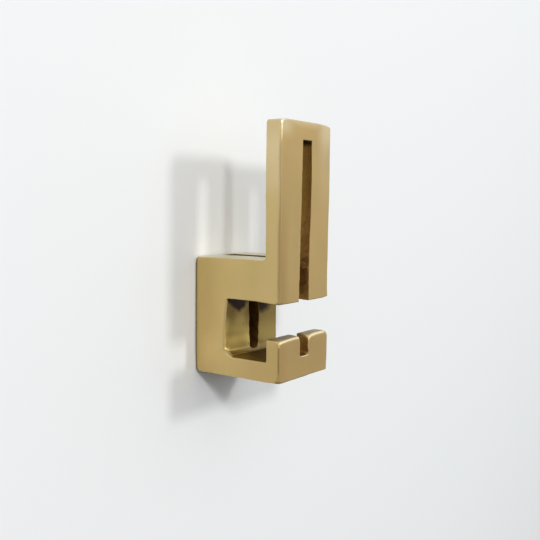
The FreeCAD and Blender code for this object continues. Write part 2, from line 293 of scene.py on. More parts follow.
def skin_of_cells(planes):
    """Vertices and outward quads of the boundary of the cells that lie in the sharp metal."""
    middles = [(p[1:] + p[:-1]) / 2 for p in planes]
    counts = [len(m) for m in middles]
    grid = np.stack(np.meshgrid(*middles, indexing="ij"), axis=-1).reshape(-1, 3)
    filled = np.zeros([n + 2 for n in counts], bool)
    filled[1:-1, 1:-1, 1:-1] = (metal_field(grid, soft=0.0) < 0).reshape(counts)
    sizes = [len(p) for p in planes]
    quads = []
    for axis in range(3):
        u, v = (axis + 1) % 3, (axis + 2) % 3
        ahead = np.roll(filled, -1, axis=axis)
        for outward, meets in ((True, filled & ~ahead), (False, ~filled & ahead)):
            cells = np.argwhere(meets)
            cells = cells[(cells[:, u] > 0) & (cells[:, v] > 0)]
            base = cells - 1
            base[:, axis] += 1
            corners = []
            for du, dv in ((0, 0), (1, 0), (1, 1), (0, 1)):
                corner = base.copy()
                corner[:, u] += du
                corner[:, v] += dv
                corners.append((corner[:, 0] * sizes[1] + corner[:, 1]) * sizes[2] + corner[:, 2])
            if not outward:
                corners.reverse()
            quads.append(np.stack(corners, axis=1))
    quads = np.concatenate(quads)
    used, numbers = np.unique(quads, return_inverse=True)
    index = np.stack(np.unravel_index(used, sizes), axis=1)
    vertices = np.stack([planes[axis][index[:, axis]] for axis in range(3)], axis=1)
    return vertices, numbers.reshape(quads.shape)


def round_screw_holes(points):
    """Turn the square holes of the web into round ones, easing off towards the slot's walls."""
    moved = points.copy()
    for height in SCREW_HEIGHTS:
        offset = moved[:, [0, 2]] - (0, height)
        square = np.abs(offset).max(axis=1)
        near = (square < SLOT_SIDE) & (square > 0) & (moved[:, 1] > WEB_FRONT - 0.1)
        radial = np.hypot(*offset[near].T)
        ease = 1 - smooth_step(square[near], SCREW_RADIUS, SLOT_SIDE)
        scale = 1 + ease * (square[near] / radial - 1)
        moved[np.ix_(near, [0, 2])] = offset[near] * scale[:, None] + (0, height)
    return moved


# How the points are moved onto the rounds: in a few steps along each face and then along the
# whole surface, by slopes taken over a short distance in millimetres.
FACE_STEPS = 5
SURFACE_STEPS = 7
SLOPE_REACH = 0.02
LEAST_STEEPNESS = 0.25


def slope(field, points):
    """Gradient of a field."""
    columns = []
    for axis in range(3):
        shift = np.zeros(3)
        shift[axis] = SLOPE_REACH
        rise = field(points + shift) - field(points - shift)
        columns.append(rise / (2 * SLOPE_REACH))
    return np.stack(columns, axis=1)


def step_onto(field, points):
    """One step of the points towards the surface where the field is 0."""
    gradient = slope(field, points)
    steepness = np.maximum((gradient**2).sum(axis=1), LEAST_STEEPNESS)
    return points - gradient * (field(points) / steepness)[:, None]


def soft_profile(points):
    return profile_field(points, worn_radius(points), 1.0)


def soft_outline(points):
    return outline_field(points, 1.0)


def soft_slot(points):
    return slot_field(points, 1.0)


def follow_rounds(points):
    """Move each point along the faces it lies on, onto their rounded corners."""
    on_faces = (
        (soft_outline, np.abs(outline_field(points, 0.0)) < 1e-6),
        (soft_profile, np.abs(profile_field(points, 0.0, 0.0)) < 1e-6),
        (soft_slot, np.abs(slot_field(points, 0.0)) < 1e-6),
    )
    moved = points.copy()
    for _ in range(FACE_STEPS):
        for field, on_face in on_faces:
            moved[on_face] = step_onto(field, moved[on_face])
    return moved


def settle(points):
    """Move the points onto the rounded surface, and give the surface's normals there."""
    for _ in range(SURFACE_STEPS):
        points = step_onto(metal_field, points)
    gradient = slope(metal_field, points)
    length = np.maximum(np.linalg.norm(gradient, axis=1), 1e-6)
    return points, gradient / length[:, None]


# Deviations of the real casting, as (height, shift) in millimetres. A positive inset narrows it.
LEFT_INSET = ((97, 0.2), (80, 0.1), (45, 0.0), (-16, 0.0), (-28, 0.25))
RIGHT_INSET = (
    (95, 0.05), (66, 0.0), (40, 0.4), (15, 0.55), (8, 0.1), (0, 0.0), (-22, 0.0), (-28, 0.3),
)
LEFT_WALL_LEAN = ((90, 0.7), (62, 0.3), (36, -0.35), (9, -0.95))
RIGHT_WALL_LEAN = ((90, 0.3), (72, 0.7), (55, 0.4), (37, -0.4), (23, -0.7), (9, -0.4))
LEFT_BASE_WALL_SHIFT = ((6, 1.1), (-4, 1.5), (-10, 1.9), (-15, 2.5))
RIGHT_BASE_WALL_SHIFT = ((6, 1.2), (0, 1.8), (-15, 1.6))
BASE_FACE_BOW = ((9, -0.6), (1, 0.05), (-6, 0.6), (-11, 0.8), (-16, 0.75))
# Drops of the blade's top and of the lip's front top edge, as (place along X, drop) in millimetres.
BLADE_CROWN = ((-22.8, 0.35), (-18, 0.05), (0, 0.0), (9, 0.0), (17, 0.25), (22.8, 0.85))
LIP_CROWN = (
    (-22.8, 1.2), (-19, 0.75), (-14, 0.3), (-9, 0.05), (-5, 0.15), (4.4, 0.9), (8, 0.35), (13, 0.0),
)
# Deviations at one place each, in millimetres.
NOTCH_SHIFT = 0.6
SLOT_END_SHIFT = 2.2
SLOT_TOP_DROP = 0.3
BLADE_BACK_SHIFT = 0.4
BLADE_FOOT_DROP = 0.4
BLADE_FAR_FOOT_RISE = 0.45
ARM_ARCH = 0.35
UNDERSIDE_RISE = 0.3
FLOOR_RISE = 0.35
FILLET_FORWARD, FILLET_RISE = 1.0, 0.7
LIP_TOP_TILT = 0.2
# Waves of filed flats and bumps of the mould's skin, as (height, wavelength, seed), in millimetres.
FILED_WAVES = ((0.07, 34, 11), (0.03, 11, 12))
MOULD_BUMPS = ((0.2, 6.5, 21), (0.14, 3.2, 22))


def along(pairs, wanted):
    """Smooth curve through (place, value) pairs, at each of the wanted places."""
    ordered = sorted(pairs)
    places = np.array([p for p, _ in ordered], float)
    values = np.array([v for _, v in ordered], float)
    result = np.full(len(wanted), values[0])
    for index in range(len(places) - 1):
        share = smooth_step(wanted, places[index], places[index + 1])
        result += share * (values[index + 1] - values[index])
    return result


def near_fillet(points):
    """1 in the round at the foot of the base's face, at its left end, and 0 elsewhere."""
    x, y, z = points.T
    from_corner = np.hypot(BASE_FACE - y, z - FLOOR)
    in_front = y < BASE_FACE + 0.3
    return (1 - smooth_step(from_corner, 1.4, 5)) * smooth_step(-x, 17.5, 22.5) * in_front


def around_slot(x):
    """1 at the slot's walls, and 0 some way out towards the sides."""
    return around(x, 0, SLOT_SIDE + 1, SLOT_SIDE + 9)


def shift_across(points):
    """Shifts along X: sides that are drawn in, and a slot that leans and sits to the right."""
    x, y, z = points.T
    sides = smooth_step(-x, SLOT_SIDE + 1, SIDE) * along(LEFT_INSET, z)
    sides -= smooth_step(x, SLOT_SIDE + 1, SIDE) * along(RIGHT_INSET, z)
    # The slot's walls lean in blade and arm. Base slot and notch sit to the right.
    in_front = 1 - smooth_step(y, FRONT + 14, BASE_FACE)
    above_lip = smooth_step(z, LIP_TOP + 2, ARM_UNDERSIDE)
    lean = np.where(x < 0, along(LEFT_WALL_LEAN, z), along(RIGHT_WALL_LEAN, z))
    front_slot = in_front * (above_lip * lean + (1 - above_lip) * NOTCH_SHIFT)
    below_top = 1 - smooth_step(z, ARM_UNDERSIDE + 3, ARM_TOP - 4)
    base_shift = np.where(x < 0, along(LEFT_BASE_WALL_SHIFT, z), along(RIGHT_BASE_WALL_SHIFT, z))
    base_slot = (1 - in_front) * (y < WEB_FRONT) * below_top * base_shift
    return sides + around_slot(x) * (front_slot + base_slot)


def shift_back(points):
    """Shifts along Y: of the slot's end, the blade's back, and the base's face and its foot."""
    x, y, z = points.T
    # At the arm's top the slot runs closer to the wall, and the blade thickens towards its top.
    shift = SLOT_END_SHIFT * around(y, WEB_FRONT, 0, 6) * around_slot(x) * smooth_step(z, 21, 29)
    shift += BLADE_BACK_SHIFT * around(y, BLADE_BACK, 0.5, 6) * smooth_step(z, 45, 75)
    # The base's face is bowed, most of all at its left end, where metal fills its foot.
    in_opening = smooth_step(z, FLOOR - 2, FLOOR + 3) * (1 - smooth_step(z, 9, 15))
    left_share = 1 - 0.85 * smooth_step(x, -18, -6)
    shift += around(y, BASE_FACE, 1, 8) * in_opening * left_share * along(BASE_FACE_BOW, z)
    return shift - FILLET_FORWARD * near_fillet(points)


def shift_up(points):
    """Shifts along Z: of the slot's top, both undersides, the lower arm's floor and both tops."""
    x, y, z = points.T
    shift = -SLOT_TOP_DROP * around_slot(x) * around(z, SLOT_TOP, 0.5, 4)
    # The arm is arched from below. The blade's foot hangs lower, but not at its far corner.
    blade_foot = 1 - smooth_step(y, FRONT + 1, BLADE_BACK + 2)
    far_foot = smooth_step(x, 17, 22.5) * (y < BLADE_BACK + 1)
    arch = smooth_step(y, BLADE_BACK, BLADE_BACK + 6) * (1 - smooth_step(y, BASE_FACE - 5, BASE_FACE))
    from_below = BLADE_FAR_FOOT_RISE * far_foot + ARM_ARCH * arch - BLADE_FOOT_DROP * blade_foot
    shift += around(z, ARM_UNDERSIDE, 1, 6) * (z > MOUTH_MIDDLE) * from_below
    # The underside is filed higher on the right in front.
    filed = smooth_step(x, 0, 8) * (1 - smooth_step(y, FRONT + 4, FRONT + 20))
    shift += UNDERSIDE_RISE * filed * (1 - smooth_step(z, UNDERSIDE + 0.5, UNDERSIDE + 4))
    # The lower arm's floor rises towards the left, and metal fills the foot of the base's face.
    on_floor = around(z, FLOOR, 0.5, 4) * (y > LIP_BACK - 0.1) * (y < BASE_FACE + 0.1)
    shift += FLOOR_RISE * on_floor * smooth_step(-x, 2, 14)
    shift += FILLET_RISE * near_fillet(points)
    # The blade's top is crowned, and so is the lip's front top edge beside the notch.
    shift -= smooth_step(z, BLADE_TOP - 7, BLADE_TOP - 0.5) * along(BLADE_CROWN, x)
    lip_top = smooth_step(z, LIP_TOP - 5, LIP_TOP - 0.5) * is_lip(points)
    towards_front = 1 - 0.9 * smooth_step(y, FRONT + 0.3, FRONT + 3.0)
    tilt = LIP_TOP_TILT * (smooth_step(x, -4, 4) - 0.5)
    return shift - lip_top * (tilt + along(LIP_CROWN, x) * towards_front)


def ripples(points, kinds):
    """Sum of ripples, one for each (height, wavelength, seed)."""
    return sum(height * ripple(points, wavelength, seed) for height, wavelength, seed in kinds)


def relief(points, skin):
    """How far the surface stands out: filed flats wave a little, the mould's skin is rough."""
    y, z = points[:, 1], points[:, 2]
    filed = ripples(points, FILED_WAVES) * (1 - skin) * (1 - smooth_step(y, -3, -1))
    # The skin is roughest where blade and arm meet.
    rough = (0.35 + 0.65 * (1 - smooth_step(z, 34, 60))) * np.where(is_lip(points), 0.4, 1.0)
    return filed + ripples(points, MOULD_BUMPS) * rough * skin


def hand_finish(points, normals, skin):
    """Bow, lean and unevenness of the real casting, inside the box of the straight one."""
    shift = np.stack([shift_across(points), shift_back(points), shift_up(points)], axis=1)
    moved = points + shift + normals * relief(points, skin)[:, None]
    return np.clip(moved, node_low, node_high)


# How far the painted shade under the arm reaches down the base's face, as (place along X, reach) in
# millimetres.
SHADE_REACH = (
    (-22.8, 1.0), (-18.7, 3.4), (-15.1, 5.8), (-11.5, 7.5), (-8.5, 5.8), (-5.0, 1.8),
    (4.5, 9.6), (9.2, 10.3), (12.8, 9.3), (16.4, 7.2), (20, 3.4),
)
# Painted light on the polish at the left of the base's face, as (height, share).
FACE_LIGHT_LEVELS = ((9, 0.0), (1, 0.03), (-4, 0.3), (-9, 0.55), (-13.5, 0.95))
# Painted sheen on the sides of the blade, as (height, share).
SIDE_SHEEN = ((35, 0.0), (55, 0.25), (73, 0.9), (86, 1.33), (97, 0.66))


class Surface:
    """Points of the rounded casting, with the shares that several masks are made of.

    near is 1 at the left end, upward where the metal faces up and front on the front faces.
    """

    def __init__(self, start, points, normals):
        self.points = points
        self.x, self.y, self.z = points.T
        self.nx, self.ny, self.nz = normals.T
        self.lip = is_lip(points)
        # The start lies outside the metal where an edge is rounded off.
        self.edge = np.clip(metal_field(start) / (0.25 * EDGE_ROUND), 0, 1)
        self.near = smooth_step(-self.x, SIDE - 4, SIDE - 1.5)
        self.upward = smooth_step(self.nz, 0.1, 0.5)
        self.front = smooth_step(-self.ny, 0.6, 0.95) * (self.y < FRONT + 1.5)
        high = smooth_step(self.z, BLADE_TOP - 6.5, BLADE_TOP - 3)
        self.near_corner = self.near * high * (self.y < FRONT + 3)
        on_arm = (self.y > BLADE_BACK + 1) * (self.z > ARM_TOP - 3)
        self.arm_top = smooth_step(self.nz, 0.5, 0.9) * on_arm
        self.in_opening = (
            smooth_step(self.y, LIP_BACK - 0.2, LIP_BACK)
            * smooth_step(BASE_FACE - self.y, -0.3, 0.0)
            * smooth_step(self.z, FLOOR - 0.4, FLOOR)
            * smooth_step(ARM_UNDERSIDE - self.z, -0.3, 0.0)
        )


def highlighted_edges(s):
    """Painted highlights on edges: the lip's top, the blade's near corner and the floor's near edge.
    """
    lip_ends = 0.85 * smooth_step(-s.x, 20.5, 22.3) + 0.8 * smooth_step(s.x, 18.5, 21.5)
    beside_notch = smooth_step(s.x, 3.5, 5) * (1 - smooth_step(s.x, 6.5, 9)) * (s.z > LIP_TOP - 4)
    lip_share = 1 - lip_ends - 0.35 * beside_notch
    lip_edge = s.upward * s.lip * (s.y < LIP_BACK - 2) * lip_share
    at_floor = (s.z > FLOOR - 3) * (s.z < FLOOR + 4) * (s.y > LIP_BACK) * (s.y < BASE_FACE)
    floor_edge = 0.45 * s.near * s.upward * at_floor
    return s.edge * np.max([lip_edge, s.near_corner, floor_edge], axis=0)


def painted_face_light(s):
    """Painted reflection on the base's face: brightest low down on the left of its slot and at its
    left edge.
    """
    high_up = smooth_step(s.z, -6, 0) * smooth_step(s.x, -17, -12) * (1 - smooth_step(s.x, -9.5, -7))
    beside_slot = smooth_step(s.x, -9, -5.5) * (1 - smooth_step(s.x, -3.8, -3.5))
    slot_share = 1 - 0.7 * beside_slot * smooth_step(s.z, -12, 0)
    left_edge = smooth_step(-s.x, 18.5, 21) * smooth_step(-s.z, -2, 4)
    left_light = (along(FACE_LIGHT_LEVELS, s.z) + 0.1 * high_up) * slot_share + 0.4 * left_edge
    right_light = 0.06 + 0.19 * smooth_step(-s.z, 0, 14)
    left_of_slot = smooth_step(-s.x, -6, 3)
    return (left_of_slot * left_light + (1 - left_of_slot) * right_light) * s.in_opening


def face_shade(s):
    """Painted shade that hangs from the arm down the base's face."""
    reach = along(SHADE_REACH, s.x)
    blur = 0.7 + 0.22 * reach + 1.6 * smooth_step(s.x, 9, 17)
    under_arm_shade = smooth_step(s.z, ARM_UNDERSIDE - reach - blur, ARM_UNDERSIDE - reach + blur)
    return under_arm_shade * (1 - 0.18 * smooth_step(s.x, 0, 6)) * s.in_opening


def opening_masks(s):
    """The polished face in the lower hook with its painted reflection and shade, the floor, and the
    round between them.
    """
    worn_corner = smooth_step(near_fillet(s.points), 0.25, 0.75)
    level = smooth_step(s.nz, 0.84, 0.985) * s.in_opening
    fillet = smooth_step(s.nz, 0.06, 0.28) * (1 - level) * s.in_opening
    floor = level * (1 - worn_corner)
    return {
        "polished": s.in_opening * (1 - floor) * (1 - worn_corner),
        "face_light": painted_face_light(s),
        "under_arm_shade": face_shade(s),
        "floor": floor,
        "fillet": fillet * (1 - worn_corner),
    }


def low_shade_share(s):
    """Painted shade, warm brown: low down on the arm and lip and on the blade, strongest at the near
    edge.
    """
    beside_edge = 1 - smooth_step(s.x, -22, -12)
    low_end = smooth_step(-s.z, 5, 14) * smooth_step(-s.y, 18, 42)
    low = low_end * (0.4 - 0.08 * s.front + 0.35 * s.front * beside_edge)
    blade = s.front * (1 - smooth_step(s.z, 25, 80)) * (0.04 + 0.62 * beside_edge)
    return np.maximum(low, blade)


def painted_sheen(s):
    """Painted sheen, paler metal: the arm's top, the blade's sides and the top of its front."""
    right = smooth_step(s.x, 7, 19) * (smooth_step(s.z, 42, 98) + smooth_step(s.z, 80, 95))
    corner = 1.4 * smooth_step(-s.x, 8, 21) * smooth_step(s.z, BLADE_TOP - 11, BLADE_TOP - 3)
    top = 0.9 * smooth_step(s.z, BLADE_TOP - 4, BLADE_TOP - 1)
    in_front = np.max([right, corner, top], axis=0)
    sheen = (1 - s.front) * along(SIDE_SHEEN, s.z) + s.front * in_front
    return np.maximum(sheen, 1.9 * s.arm_top)


def near_uprights(s):
    """Painted shade on the near upright edges of blade and lip, dark except at their tops and the
    lip's foot.
    """
    turned = smooth_step(np.minimum(-s.nx, -s.ny), 0.08, 0.4) * (s.y < FRONT + 2)
    lip_ends = smooth_step(s.z, LIP_TOP - 4, LIP_TOP - 2.5) + smooth_step(-s.z, 24, 28)
    blade = 0.5 * (1 - smooth_step(s.z, BLADE_TOP - 13, BLADE_TOP - 7))
    blade += 0.08 * (1 - smooth_step(s.z, 50, 70))
    return turned * np.where(s.lip, 0.8 - 0.5 * lip_ends, blade)


def shaded_edges(s, uprights):
    """Painted shade on edges that stay dark, with the rim at the wall and the slot's mouth in the
    arm's top.
    """
    downward = smooth_step(-s.nz, 0.05, 0.35) * (1 - smooth_step(-s.nz, 0.9, 0.99))
    downward = downward * (s.y < FRONT + 2)
    outer = np.maximum(np.abs(s.x) > SIDE - 3, np.abs(s.z) > ARM_TOP - 3)
    rim = outer * smooth_step(s.y, -2.0, -1.3) * (s.ny < 0.8)
    on_arm = (s.z < ARM_TOP) * (s.y > BLADE_BACK + 1) * (s.y < WEB_FRONT + 0.5)
    at_slot = slot_field(s.points, 1.0) < 0.3
    slot_mouth = at_slot * on_arm * smooth_step(s.z, ARM_TOP - 5, ARM_TOP - 2)
    notch_back = s.lip * (s.x > 0) * smooth_step(-s.x, -7.5, -4.5)
    notch_back = notch_back * smooth_step(s.y, LIP_BACK - 5, LIP_BACK - 2)
    notch_back = notch_back * smooth_step(s.z, LIP_TOP - 1.5, LIP_TOP - 0.5)
    at_face = (np.abs(s.y - BASE_FACE) < 1.5) * (s.z > FLOOR + 3) * (s.z < ARM_UNDERSIDE)
    face_edge = s.near * s.edge * at_face
    kinds = [0.85 * downward, uprights, rim, slot_mouth, 0.6 * notch_back, 0.2 * face_edge]
    return np.max(kinds, axis=0)


def reflecting_edges(s):
    """Painted grey reflection on edges in front: the far one, the blade's top and the lip's far top.
    """
    far_edge = smooth_step(s.x, SIDE - 1.4, SIDE - 0.4) * (s.y < FRONT + 3)
    top_edge = smooth_step(s.z, BLADE_TOP - 0.9, BLADE_TOP - 0.3) * (1 - s.near_corner)
    lip_far_top = s.upward * s.lip * smooth_step(s.x, 18.5, 21.5)
    return s.edge * np.max([0.7 * far_edge, 0.5 * top_edge, 0.8 * lip_far_top], axis=0)


def inside_slot(points):
    """1 on the slot's walls and its ends, and 0 outside the slot."""
    return smooth_step(slot_field(points, 1.0), 0.35, 0.0)


def paint_masks(start, points, normals):
    """Where the brass is polished or has cast skin, and where it gets painted highlight, reflection
    and shade, at each point.
    """
    s = Surface(start, points, normals)
    uprights = near_uprights(s)
    return {
        "edge": s.edge,
        # Painted highlight on edges.
        "edge_highlight": highlighted_edges(s),
        **opening_masks(s),
        # Painted shade on the front faces.
        "front_shade": s.front,
        # Painted shade low down and beside the near edge.
        "low_shade": low_shade_share(s),
        # Painted sheen.
        "sheen": painted_sheen(s),
        # Painted shade on edges.
        "edge_shade": shaded_edges(s, uprights),
        "upright": np.minimum(3 * uprights, 1),
        # Painted reflection on the arm's top.
        "arm_top": s.arm_top,
        # Painted grey reflection on edges.
        "grey_reflection": reflecting_edges(s),
        # Greyer, rougher top of the lip.
        "lip_top_grey": smooth_step(s.nz, 0.85, 0.97) * s.lip * (s.z > LIP_TOP - 2),
        # Painted shade under the slot's top end.
        "slot_top_shade": inside_slot(points) * smooth_step(s.z, SLOT_TOP - 3.2, SLOT_TOP - 0.6),
        "near_end": smooth_step(-s.x, 5, 9),
        "slot_skin": inside_slot(points) * (s.y < WEB_FRONT + 0.5),
    }


def build_casting():
    """Mesh object of the hand-finished casting, with the attributes its material reads."""
    vertices, quads = skin_of_cells(grid_planes())
    start = follow_rounds(round_screw_holes(vertices))
    points, normals = settle(start)
    masks = paint_masks(start, points, normals)
    facing_sideways = np.abs(normals[:, 0]) > 0.5
    finished = hand_finish(points, normals, masks["slot_skin"] * facing_sideways)
    mesh = bpy.data.meshes.new("casting")
    mesh.from_pydata((finished * MM).tolist(), [], quads.tolist())
    mesh.polygons.foreach_set("use_smooth", [True] * len(mesh.polygons))
    for name, values in masks.items():
        attribute = mesh.attributes.new(name, "FLOAT", "POINT")
        attribute.data.foreach_set("value", values.astype(np.float32))
    mesh.validate()
    casting = bpy.data.objects.new("finished_casting", mesh)
    bpy.context.scene.collection.objects.link(casting)
    weighted = casting.modifiers.new("face_weighted_normals", "WEIGHTED_NORMAL")
    weighted.weight = 50
    weighted.keep_sharp = True
    return casting


NOISE_ROUGHNESS = 0.55


class Nodes:
    """The node tree of a material or world, with one short call for each node."""

    def __init__(self, name, owner=None):
        self.owner = owner or bpy.data.materials.new(name)
        self.owner.use_nodes = True
        self.tree = self.owner.node_tree
        self.tree.nodes.clear()

    def add(self, kind, settings=None, **inputs):
        """Node of that kind; an input is a number, a colour or another node's output."""
        node = self.tree.nodes.new(kind)
        for key, value in (settings or {}).items():
            setattr(node, key, value)
        for key, value in inputs.items():
            socket = self.socket(node, key)
            if isinstance(value, bpy.types.NodeSocket):
                self.tree.links.new(value, socket)
            else:
                socket.default_value = value
        return node

    @staticmethod
    def socket(node, key):
        """The input named so, with _ for a blank, or the one at that number after an n."""
        if key[0] == "n" and key[1:].isdigit():
            return node.inputs[int(key[1:])]
        return node.inputs[key.replace("_", " ")]

    def attribute(self, name):
        return self.add("ShaderNodeAttribute", {"attribute_name": name}).outputs["Fac"]

    def math(self, operation, a, b):
        return self.add("ShaderNodeMath", {"operation": operation}, n0=a, n1=b).outputs[0]

    def times(self, a, b):
        return self.math("MULTIPLY", a, b)

    def remap(self, value, low, high, to_low=0.0, to_high=1.0):
        return self.add(
            "ShaderNodeMapRange",
            Value=value, From_Min=low, From_Max=high, To_Min=to_low, To_Max=to_high,
        ).outputs[0]

    def mix(self, share, a, b):
        """Colour a where share is 0 and colour b where it is 1."""
        node = self.add("ShaderNodeMix", {"data_type": "RGBA"}, Factor=share)
        for slot, value in ((6, a), (7, b)):
            if isinstance(value, bpy.types.NodeSocket):
                self.tree.links.new(value, node.inputs[slot])
            else:
                node.inputs[slot].default_value = (*value, 1.0)
        return node.outputs[2]

    def noise(self, vector, scale, detail=3.0):
        return self.add(
            "ShaderNodeTexNoise",
            Vector=vector, Scale=scale, Detail=detail, Roughness=NOISE_ROUGHNESS,
        ).outputs[0]

    def stretched(self, vector, x, y, z):
        settings = {"operation": "MULTIPLY"}
        return self.add("ShaderNodeVectorMath", settings, n0=vector, n1=(x, y, z)).outputs[0]

    def bump(self, height, distance, strength, below=None):
        inputs = {"Height": height, "Distance": distance, "Strength": strength}
        if below is not None:
            inputs["Normal"] = below
        return self.add("ShaderNodeBump", **inputs).outputs[0]


# Colours of the brass, linear: its own and those of painted highlight, reflection and shade.
GOLD = (0.58, 0.43, 0.185)
ROSE = (0.60, 0.42, 0.20)
OLIVE = (0.55, 0.43, 0.16)
# Painted shade: the front faces darker and redder than the sides.
FRONT_SHADE = (0.59, 0.405, 0.163)
# Painted shade, warm brown, low down and beside the near edge.
LOW_SHADE_BROWN = (0.44, 0.28, 0.105)
# Painted sheen: lighter and warmer towards the wall.
WALLWARD_SHEEN = (0.72, 0.52, 0.205)
# Painted sheen.
SHEEN_COLOUR = (0.79, 0.66, 0.41)
# Painted highlight on edges.
HIGHLIGHT_CREAM = (0.95, 0.83, 0.55)
# Shaded and lit colours of the base's polished face: painted reflection.
SHADED_POLISH = (0.20, 0.13, 0.032)
LIT_POLISH = (0.97, 0.76, 0.26)
# Painted shade on the round at the foot of the base's face, darker at its near end.
SHADED_FILLET = (0.22, 0.155, 0.068)
SHADED_NEAR_FILLET = (0.18, 0.11, 0.022)
# Painted shade under the arm; also the colour of dark pits.
SHADE_AND_PIT_DARK = (0.025, 0.013, 0.008)
# Painted shade on edges, and on the near upright edges.
SHADED_EDGE_COLOUR = (0.10, 0.086, 0.032)
SHADED_UPRIGHT_COLOUR = (0.15, 0.085, 0.028)
# Painted reflection of the pale wall on the arm's top.
ARM_TOP_REFLECTION = (0.70, 0.68, 0.54)
# Painted grey reflection on edges.
GREY_REFLECTION = (0.42, 0.41, 0.28)
# Greyer colour of the lip's top.
LIP_TOP_GREY = (0.34, 0.27, 0.19)
# Painted shade in the slot: under its top end and deeper in the base.
SLOT_SHADE = (0.03, 0.009, 0.001)
# Cast skin on the lower arm's floor, darkened further by painted shade under the arm; less dark at
# the near end.
SHADED_FLOOR_SKIN = (0.10, 0.05, 0.003)
SHADED_NEAR_FLOOR_SKIN = (0.18, 0.095, 0.004)
MOULD_SKIN = (0.25, 0.132, 0.022)
LOW_MOULD_SKIN = (0.33, 0.175, 0.045)


# Scales of the unevenness in the metal, in waves a metre. The streaks are long along Z.
BLOTCH_SCALE = 42.0
TINT_SCALE = 19.0
STREAK_SCALES = (420.0, 420.0, 26.0)
GRAIN_SCALE = 1700.0
SHADE_EDGE_SCALE = 260.0
PIT_SCALE = 330.0
LUMP_SCALE = 520.0
# Heights of the lumps of the cast skin, the brushed streaks and the grain, in metres.
LUMP_HEIGHT = 0.0004
STREAK_HEIGHT = 0.00003
GRAIN_HEIGHT = 0.00002
FINE_STRENGTH = 0.35
# Roughness of the plain metal between and on its blotches, and how far the streaks vary it.
SATIN_LOW, SATIN_HIGH = 0.34, 0.42
STREAK_SATIN = 0.03


def polished_face(n, place, polished):
    """Layers of the base's face in the lower hook: the polish with its painted reflection, the
    painted shade under the arm, and dark pits.
    """
    # Painted reflection on the polish.
    polish_light = n.mix(n.attribute("face_light"), SHADED_POLISH, LIT_POLISH)
    # Painted shade under the arm, with a ragged edge.
    ragged = n.remap(n.noise(place, SHADE_EDGE_SCALE), 0.3, 0.7, -0.15, 0.15)
    shaded = n.remap(n.math("ADD", n.attribute("under_arm_shade"), ragged), 0.1, 0.85)
    pits = n.remap(n.noise(place, PIT_SCALE, detail=1.0), 0.72, 0.77, 0.0, 0.5)
    return (
        (n.times(polished, 0.95), polish_light),
        (n.times(shaded, polished), SHADE_AND_PIT_DARK),
        (n.times(pits, polished), SHADE_AND_PIT_DARK),
    )


def brass_colour(n, place, blotches, edge_shade):
    """Colour of the metal: tints and blotches, with a layer over them for each kind of wear and of
    painted highlight, reflection and shade.
    """
    axes = n.add("ShaderNodeSeparateXYZ", Vector=place).outputs
    tint = n.remap(n.noise(place, TINT_SCALE, detail=2.0), 0.35, 0.65)
    # Painted sheen, varied by the tint.
    sheen_layer = n.times(n.attribute("sheen"), n.remap(tint, 0.0, 1.0, 0.35, 0.55))
    # Painted shade on the round at the foot of the base's face.
    fillet = n.mix(n.attribute("near_end"), SHADED_FILLET, SHADED_NEAR_FILLET)
    # Cast skin of the floor with painted shade.
    floor = n.mix(n.remap(axes["X"], -0.019, -0.009, 1.0, 0.0), SHADED_FLOOR_SKIN, SHADED_NEAR_FLOOR_SKIN)
    mould_skin = n.mix(n.remap(axes["Z"], 0.035, 0.07), LOW_MOULD_SKIN, MOULD_SKIN)
    # Painted shade deeper in the slot, in the base.
    mould_skin = n.mix(n.remap(axes["Y"], -0.03, -0.015, 0.0, 0.3), mould_skin, SLOT_SHADE)
    layers = (
        (n.times(blotches, 0.6), OLIVE),
        # Painted sheen, stronger towards the wall.
        (n.remap(axes["Y"], -0.036, -0.006, 0.0, 0.55), WALLWARD_SHEEN),
        # Painted shade on the front faces.
        (n.times(n.attribute("front_shade"), 0.75), FRONT_SHADE),
        # Painted shade low down and beside the near edge.
        (n.attribute("low_shade"), LOW_SHADE_BROWN),
        # Painted sheen.
        (sheen_layer, SHEEN_COLOUR),
        # Painted reflection on the arm's top.
        (n.times(n.attribute("arm_top"), 0.6), ARM_TOP_REFLECTION),
        *polished_face(n, place, n.attribute("polished")),
        # Painted shade on that round.
        (n.times(n.attribute("fillet"), 0.95), fillet),
        # Cast skin of the floor with painted shade.
        (n.attribute("floor"), floor),
        (n.times(n.attribute("slot_skin"), 0.95), mould_skin),
        # Painted shade under the slot's top end.
        (n.attribute("slot_top_shade"), SLOT_SHADE),
        # Greyer top of the lip.
        (n.times(n.attribute("lip_top_grey"), 0.7), LIP_TOP_GREY),
        # Painted grey reflection on edges.
        (n.attribute("grey_reflection"), GREY_REFLECTION),
        # Painted highlight on edges.
        (n.times(n.attribute("edge_highlight"), 0.8), HIGHLIGHT_CREAM),
        # Painted shade on edges.
        (edge_shade, n.mix(n.attribute("upright"), SHADED_EDGE_COLOUR, SHADED_UPRIGHT_COLOUR)),
    )
    colour = n.mix(tint, GOLD, ROSE)
    for share, layer in layers:
        colour = n.mix(share, colour, layer)
    return colour


def brass_roughness(n, blotches, streaks, edge_shade):
    """Roughness of the metal: satin, and duller by an amount for each kind of wear."""
    satin = n.remap(blotches, 0.0, 1.0, SATIN_LOW, SATIN_HIGH)
    satin = n.math("ADD", satin, n.remap(streaks, 0.3, 0.7, -STREAK_SATIN, STREAK_SATIN))
    duller = (
        (n.math("SUBTRACT", n.attribute("edge"), n.attribute("edge_highlight")), 0.06),
        (n.attribute("polished"), 0.05),
        (n.attribute("fillet"), 0.1),
        (n.attribute("floor"), 0.32),
        (n.attribute("slot_skin"), 0.18),
        (n.attribute("lip_top_grey"), 0.22),
        (edge_shade, 0.5),
    )
    for share, amount in duller:
        satin = n.math("ADD", satin, n.times(share, amount))
    return satin


